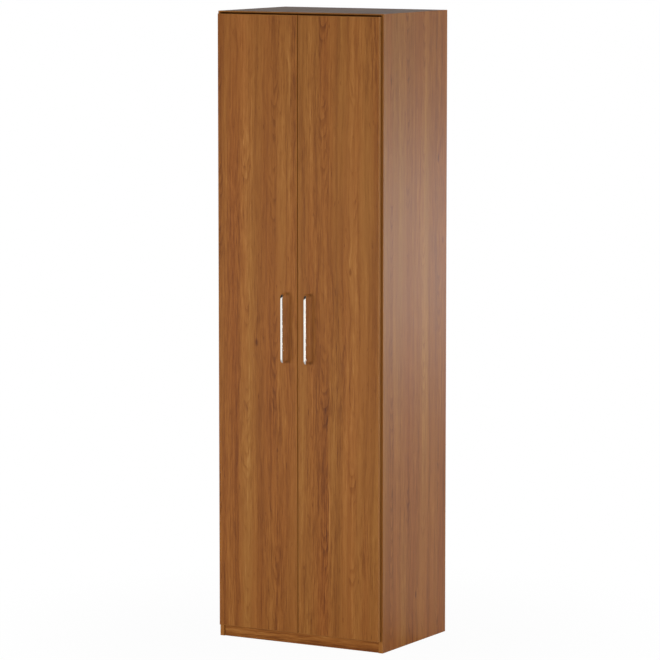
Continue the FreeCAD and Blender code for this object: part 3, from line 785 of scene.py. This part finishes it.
def cam_housing(node):
    """A round cam: rimmed face with a cross slot below, and the mouth that takes the bolt."""
    size = extent(node)
    round_bar(size.x, -size.z, 0, sides=40)
    pick("EDGE", at(Z, 0))
    round_off(CAM_EDGE, segments=2)
    pick("FACE", looks(Z))
    bpy.ops.mesh.inset(thickness=CAM_RIM)
    draw_out((0, 0, -CAM_SINK))
    cam = close()
    combine(cam, cross_cutter(*CAM_CROSS), "DIFFERENCE")
    round_bar(CAM_MOUTH, -CAM_MOUTH_END, size.x, sides=24)
    bpy.ops.transform.rotate(value=-pi / 2, orient_axis="Y", center_override=(0, 0, 0))
    bpy.ops.transform.translate(value=(0, 0, -extent("top_panel").z / 2))
    return combine(cam, close(), "DIFFERENCE")


def bumper(node):
    """A soft dot with a domed face."""
    size = extent(node)
    round_bar(size.x, -size.y, 0, sides=24)
    pick("EDGE", at(Z, 0))
    round_off(size.y * DOME_SHARE, segments=5)
    return close()


# Shelf and rail fittings

def shelf_pin(node):
    """A pin with a rest, flat on top and rounded off below."""
    size = extent(node)
    block((size.y, size.z, PIN_REST), (0, 0, -PIN_REST / 2))
    pick("EDGE", lambda edge: at(Z, 0)(edge) and at(Y, -size.z / 2)(edge))
    round_off(size.z * PIN_SHARE, segments=6)
    pick("EDGE", lambda edge: at(Y, size.z / 2)(edge)
         or (runs(Z)(edge) and edge.calc_face_angle(0) > SHARP_ANGLE))
    round_off(PIN_EDGE, segments=2)
    pin = close()
    round_bar(PIN_PEG, -size.x, PAST - PIN_REST, sides=20)
    pick("EDGE", at(Z, -size.x))
    round_off(PEG_END, segments=3)
    return combine(pin, close(), "UNION")


def oval_block(width, height, bottom, top, aside=0):
    """An upright block with fully rounded ends."""
    block((width, height, top - bottom), (aside, 0, (top + bottom) / 2))
    pick("EDGE", runs(Z))
    round_off(width * OVAL_SHARE, segments=12)
    return close()


def rail_end(node):
    """A rail holder: an oval plate for two screws and a collar that takes the rail."""
    size = extent(node)
    rail = extent("hanging_rail")
    collar = rail.z + (size.y - rail.y)
    plate_top = RAIL_PLATE - size.x
    end = oval_block(size.y, size.z, -size.x, plate_top)
    combine(end, oval_block(size.y, collar, -size.x, 0), "UNION")
    combine(end, oval_block(rail.y + RAIL_PLAY, rail.z + RAIL_PLAY, plate_top, PAST), "DIFFERENCE")
    return soften(end, HOLDER_EDGE, segments=3)


def oval_rail(node):
    """An oval tube: a circle drawn apart, drawn along the wardrobe and given its wall."""
    low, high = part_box(node)
    size = high - low
    begin(bpy.ops.mesh.primitive_circle_add, vertices=40, radius=size.y / 2,
          location=(low.x, middle(node).y, middle(node).z), rotation=(0, pi / 2, 0))
    for end in (-1, 1):
        pick("VERT", lambda corner: end * (corner.co.z - middle(node).z) > TINY)
        bpy.ops.transform.translate(value=(0, 0, end * (size.z - size.y) / 2))
    bpy.ops.mesh.select_all(action="SELECT")
    draw_out((size.x, 0, 0))
    rail = close()
    return refine(rail, "SOLIDIFY", thickness=RAIL_WALL, offset=-1)


def seal_strip(node):
    """A soft strip with rounded edges and a groove along its face."""
    low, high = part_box(node)
    block(high - low, (low + high) / 2)
    bpy.ops.mesh.select_all(action="SELECT")
    round_off(SEAL_EDGE, segments=3)
    pick("FACE", looks(-Y))
    bpy.ops.mesh.inset(thickness=SEAL_GROOVE)
    draw_out((0, SEAL_GROOVE, 0))
    return close()


# Concealed hinges

def hinge_plate(node, screws):
    """A wing plate with rounded corners and the rib that the arm slides on."""
    size = extent(node)
    line = middle(screws).y - middle(node).y

    def of_rib(way):
        """A test for faces of the rib that look one way."""
        return lambda face: looks(way)(face) and abs(face.calc_center_median().y) < RIB / 2

    def at_end(axis, half):
        """A test for upright edges at both ends of the plate or of the rib."""
        return lambda edge: runs(Z)(edge) and abs(abs(edge.verts[0].co.dot(axis)) - half) < TINY

    block((WING, size.z, PLATE), (line, 0, PLATE / 2 - size.x))
    for edge in (-RIB / 2, RIB / 2):
        bpy.ops.mesh.select_all(action="SELECT")
        bpy.ops.mesh.bisect(plane_co=(0, edge, 0), plane_no=Y)
    pick("FACE", of_rib(X))
    draw_out((size.y / 2 - WING / 2 - line, 0, 0))
    pick("FACE", of_rib(-X))
    draw_out((WING / 2 - line - size.y / 2, 0, 0))
    pick("FACE", of_rib(Z))
    draw_out((0, 0, size.x - PLATE))
    pick("EDGE", at_end(Y, size.z / 2))
    round_off(WING_ROUND, segments=7)
    pick("EDGE", at_end(X, size.y / 2))
    round_off(RIB_ROUND, segments=4)
    return soften(close(), PLATE_EDGE, segments=2)


def hinge_arm(node, screws):
    """A sheet arm: rolled round the pin, cranked out of the cup, then a channel over the rib.

    It is drawn as a bent sheet at the middle of its thickness, and thickened last.
    """
    low, high = solids(node)[0]
    size = high - low
    centre = (low.y + high.y) / 2
    pin = Vector((PIN.y - centre, 0, PIN.x - high.x))
    clamp = max(box[0].y + box[1].y for box in solids(screws)) / 2 - centre
    front, rear = (SHEET - size.y) / 2, size.y / 2
    seat = solids(screws)[0][1].x - SCREW_HEAD
    neck, web = -SHEET / 2, seat - high.x - SHEET / 2
    half = (size.z - SHEET) / 2
    leg = neck - pin.z
    start = (front, 0, (neck + pin.z) / 2)
    begin(bpy.ops.mesh.primitive_plane_add, size=NECK, location=start, rotation=(0, pi / 2, 0))
    bpy.ops.transform.resize(value=(1, 1, leg / NECK), center_override=start)
    pick("EDGE", at(Z, pin.z))
    bpy.ops.mesh.spin(steps=16, angle=ROLL, center=pin, axis=(0, 1, 0), dupli=False)
    pick("EDGE", at(Z, neck))
    shoulder = front + NECK_RISE
    draw_out((NECK_RISE, 0, 0))
    draw_out((0, 0, web - neck))
    draw_out((SHOULDER, 0, 0))
    resize((1, 2 * half / NECK, 1))
    draw_out((rear - shoulder - SHOULDER, 0, 0))

    def of_channel(edge):
        """A test for edges along the channel's two sides."""
        return runs(X)(edge) and abs(abs(edge.verts[0].co.y) - half) < TINY

    pick("EDGE", of_channel)
    draw_out((0, 0, -CHANNEL))
    pick("EDGE", lambda edge: of_channel(edge) and at(Z, web)(edge))
    round_off(CHANNEL_BEND, segments=3)
    pick("EDGE", lambda edge: runs(Y)(edge) and at(X, shoulder)(edge))
    round_off(SHOULDER_BEND, segments=3)
    pick("EDGE", lambda edge: runs(Y)(edge) and at(X, front)(edge) and at(Z, neck)(edge))
    round_off(NECK_BEND, segments=5)
    arm = close()
    refine(arm, "SOLIDIFY", thickness=SHEET, offset=0)
    block((2 * (rear - clamp) + SLOT, SLOT, 4 * SHEET), (rear, 0, web))
    pick("EDGE", runs(Z))
    round_off(SLOT_ROUND, segments=6)
    return combine(arm, close(), "DIFFERENCE")


def hinge_cup(node):
    """A pressed cup with a screw flange, and two lugs that hold the pin."""
    low, high = solids(node)[0]
    size = high - low
    pin = Vector((PIN.x - (low.x + high.x) / 2, 0, PIN.y - high.y))
    floor = CUP_WALL - size.y
    round_bar(size.x, -size.y, -FLANGE, CUP_SIDES)
    pick("EDGE", at(Z, -size.y))
    round_off(CUP_FOOT, segments=4)
    cup = close()
    combine(cup, oval_block(FLANGE_WIDTH, size.z, -FLANGE, 0, FLANGE_SHIFT), "UNION")
    round_bar(size.x - 2 * CUP_WALL, floor, PAST, CUP_SIDES)
    pick("EDGE", at(Z, floor))
    round_off(CUP_FLOOR, segments=3)
    combine(cup, close(), "DIFFERENCE")
    for end in (-1, 1):
        block((size.x / 2 + pin.x + LUG_REACH, LUG, pin.z + LUG_REACH - floor),
              ((pin.x + LUG_REACH - size.x / 2) / 2, end * LUG_LINE, (pin.z + LUG_REACH + floor) / 2))
        pick("EDGE", lambda edge: at(X, pin.x + LUG_REACH)(edge) and at(Z, pin.z + LUG_REACH)(edge))
        round_off(LUG_ROUND, segments=6)
        lug = close()
        round_bar(size.x - CUP_WALL, floor - CUP_WALL / 2, PAST, CUP_SIDES)
        combine(lug, close(), "INTERSECT")
        combine(cup, lug, "UNION")
    return cup


# Modelled pieces in the places of the CAD solids

for side in SIDES:
    install(bow_handle("door_handle_" + side), "door_handle_" + side, CHROME)
install(oval_rail("hanging_rail"), "hanging_rail", CHROME)
# the seal's dark finish is partly painted shade, standing for the shadow gap above the doors
install(seal_strip("dust_seal"), "dust_seal", SEAL_RUBBER_AND_SHADE)

# each model, the name its two nodes share, the way it looks, the way of its X axis, its finish and slot
for model, node, way, side_way, material, slot in (
    (rail_end("rail_holder_left"), "rail_holder", X, Y, CHROME, "polished_chrome"),
    (hinge_plate("hinge_plates_left", "plate_screws_left"), "hinge_plates", X, Y, NICKEL, "nickel_steel"),
    (hinge_arm("hinge_arms_left", "arm_screws_left"), "hinge_arms", X, Y, NICKEL, "nickel_steel"),
    (hinge_cup("hinge_cups_left"), "hinge_cups", Y, X, NICKEL, "nickel_steel"),
    (cross_screw("plate_screws_left", X), "plate_screws", X, Y, ZINC, "zinc_screw"),
    (cross_screw("arm_screws_left", X), "arm_screws", X, Y, ZINC, "zinc_screw"),
    (cross_screw("cup_screws_left", Y), "cup_screws", Y, X, ZINC, "zinc_screw"),
    (cross_screw("handle_screws_left", Y), "handle_screws", Y, X, ZINC, "zinc_screw"),
):
    for side, hand in zip(SIDES, (1, -1)):
        turned = [axis * hand if axis is X else axis for axis in (way, side_way)]
        set_out(model, f"{node}_{side}", spots(f"{node}_{side}", *turned), material)
    bpy.data.objects.remove(model)


def both_sides(node, left_way, right_way):
    """Places of a node's solids on the two side panels, each looking inwards."""
    return [spot(box, X, left_way) if box[0].x < 0 else spot(box, -X, right_way) for box in solids(node)]


def nail(node):
    """A nail with a flat head, as large as the nails of a CAD node."""
    size = extent(node)
    return headed_bar(size.x, NAIL_HEAD, NAIL, size.y - NAIL_HEAD, sides=12)


# each model, its node, the places of its copies, its finish and slot
for model, node, places, material, slot in (
    (cross_screw("rail_holder_screws", X), "rail_holder_screws",
     both_sides("rail_holder_screws", Y, Y), ZINC, "zinc_screw"),
    (shelf_pin("shelf_pins"), "shelf_pins", both_sides("shelf_pins", Y, -Y), NICKEL, "nickel_steel"),
    (cam_housing("cam_housings"), "cam_housings",
     [spot(box, -Z, -X if box[0].x < 0 else X) for box in solids("cam_housings")], CAST, "cast_zinc"),
    (nail("back_panel_nails"), "back_panel_nails", spots("back_panel_nails", Y, X), ZINC, "zinc_screw"),
    (bumper("door_bumpers"), "door_bumpers", spots("door_bumpers", -Y, X), CLEAR, "clear_rubber"),
):
    set_out(model, node, places, material)
    bpy.data.objects.remove(model)


# Stage, light and camera

def heading(angle):
    """A level way, so many degrees round from the front to the right."""
    return (sin(radians(angle)), -cos(radians(angle)), 0)


FLOOR_SIZE = 260
FLOOR_GREY = (0.62, 0.62, 0.62, 1)
# how white the floor is seen beside the wardrobe and away from it, and from where to where it changes
SHADOW_FADE = (0.4, 1.6, 0.97, 1.0)
# for mirrored rays: where the floor is dim before the doors, and its dim sides, with how they fade
DIM_PLACE, DIM_FADE = (0, -1.1, 0), (0.9, 2.3, 0.35, 1.0)
DIM_SIDES = (
    (heading(-75), (0.82, 0.91, 1.0, 0.08)),
    (heading(88), (0.90, 0.97, 1.0, 0.08)),
)
# for mirrored rays: how the room darkens to the left and upwards
ROOM_WAY, ROOM_FADE = heading(-65), (0.35, 0.85, 1.0, 0.15)
OVERHEAD_FADE = (0.16, 0.38, 1.0, 0.05)
AMBIENT = 0.25
# lamps: their place, the point they face, width, height and power in watts
LAMPS = {
    "front_lamp": ((-1.9, -4.4, 0.85), (0, 0, 0.85), 3.0, 1.6, 113),
    "fill_lamp": ((2.4, -5.2, 0.9), (0, 0, 0.9), 2.6, 1.6, 62),
    "door_glow": ((-2.25, -4.1, 0.8), (0, -0.22, 1.25), 3.0, 2.0, 13),
    "side_lamp": ((5.6, 1.35, 0.6), (0, 0.2, 0.6), 2.4, 1.1, 121),
    "side_glow": ((1.95, 2.75, 1.05), (0.33, 0.05, 1.25), 1.3, 0.9, 18),
    "back_lamp": ((-3.4, 3.6, 1.1), (0, 0, 1.1), 2.4, 1.8, 105),
}
# the photograph's viewing angle: down and round to the right, in degrees
CAMERA_PLACE = (6.679, -11.669, 2.690)
CAMERA_DOWN, CAMERA_ROUND = 6.813, 29.779
LENS, SENSOR = 210.85, 36
FAR = 400


def pale_floor():
    """A wide pale floor that keeps the wardrobe's soft shadow and fades to white away from it.

    Mirrored rays find it white far off, and dim before the doors and to both sides.
    """
    bpy.ops.object.select_all(action="DESELECT")
    bpy.ops.mesh.primitive_plane_add(size=FLOOR_SIZE)
    floor = bpy.context.object
    floor.name = "floor"
    finish = Finish("pale_floor")
    finish.set(Base_Color=FLOOR_GREY, Roughness=0.9)
    point = finish.place()
    way = finish.vector_math("NORMALIZE", point)["Vector"]
    path = finish.add("LightPath").outputs
    seen = finish.math("MAXIMUM", path["Is Camera Ray"], path["Is Transmission Ray"])
    seen = finish.times(seen, finish.span(finish.length(point), *SHADOW_FADE, True))
    mirrored = finish.span(finish.length(finish.place(DIM_PLACE)), *DIM_FADE, True)
    for side, fade in DIM_SIDES:
        towards = finish.vector_math("DOT_PRODUCT", way, side)["Value"]
        mirrored = finish.times(mirrored, finish.span(towards, *fade, True))
    mirrored = finish.times(path["Is Glossy Ray"], mirrored)
    white = finish.add("Emission")
    white.inputs["Strength"].default_value = 1.0
    blend = finish.add("MixShader")
    finish.feed(blend.inputs[0], finish.math("MAXIMUM", seen, mirrored))
    finish.feed(blend.inputs[1], finish.shader.outputs[0])
    finish.feed(blend.inputs[2], white.outputs[0])
    finish.feed(finish.tree.nodes["Material Output"].inputs["Surface"], blend.outputs[0])
    dress(floor, finish.material)


def studio_world():
    """White to look at; for mirrored rays a room that darkens to the left and upwards; even soft light."""
    world = bpy.data.worlds.new("studio")
    bpy.context.scene.world = world
    world.use_nodes = True
    tree = world.node_tree
    background = tree.nodes["Background"]
    background.inputs["Color"].default_value = (1, 1, 1, 1)

    def feed(node, *values):
        for socket, value in zip(node.inputs, values):
            if isinstance(value, bpy.types.NodeSocket):
                tree.links.new(value, socket)
            else:
                socket.default_value = value
        return node.outputs

    def math(operation, first, second):
        node = tree.nodes.new("ShaderNodeMath")
        node.operation = operation
        return feed(node, first, second)[0]

    def level(way, *span):
        """A level that goes from one value to another as the ray turns towards a way."""
        facing = tree.nodes.new("ShaderNodeVectorMath")
        facing.operation = "DOT_PRODUCT"
        reach = tree.nodes.new("ShaderNodeMapRange")
        reach.interpolation_type = "SMOOTHSTEP"
        return feed(reach, feed(facing, ray, way)["Value"], *span)[0]

    ray = tree.nodes.new("ShaderNodeTexCoord").outputs["Generated"]
    path = tree.nodes.new("ShaderNodeLightPath").outputs
    room = level(ROOM_WAY, *ROOM_FADE)
    overhead = level(Z, *OVERHEAD_FADE)
    mirrored = math("MULTIPLY", path["Is Glossy Ray"], math("MULTIPLY", room, overhead))
    shown = math("MAXIMUM", math("MAXIMUM", path["Is Camera Ray"], path["Is Transmission Ray"]), mirrored)
    hidden = math("SUBTRACT", 1.0, math("MAXIMUM", path["Is Glossy Ray"], shown))
    tree.links.new(math("ADD", shown, math("MULTIPLY", hidden, AMBIENT)), background.inputs["Strength"])


def soft_light(name, place, target, width, height, power):
    """An oblong lamp that faces a point."""
    bpy.ops.object.select_all(action="DESELECT")
    bpy.ops.object.light_add(type="AREA", location=place)
    lamp = bpy.context.object
    lamp.name = name
    lamp.data.shape = "RECTANGLE"
    lamp.data.size = width
    lamp.data.size_y = height
    lamp.data.energy = power
    lamp.rotation_euler = (Vector(target) - Vector(place)).to_track_quat("-Z", "Y").to_euler()
    return lamp


pale_floor()
studio_world()
lamps = {name: soft_light(name, *how) for name, how in LAMPS.items()}
for name in ("front_lamp", "fill_lamp", "back_lamp"):
    lamps[name].visible_glossy = False
lamps["door_glow"].visible_diffuse = False

bpy.ops.object.camera_add(location=CAMERA_PLACE,
                          rotation=(radians(90 - CAMERA_DOWN), 0, radians(CAMERA_ROUND)))
camera = bpy.context.object
camera.name = "camera"
camera.data.lens = LENS
camera.data.sensor_width = SENSOR
camera.data.clip_end = FAR
bpy.context.scene.camera = camera

bpy.context.scene.view_settings.view_transform = "Standard"
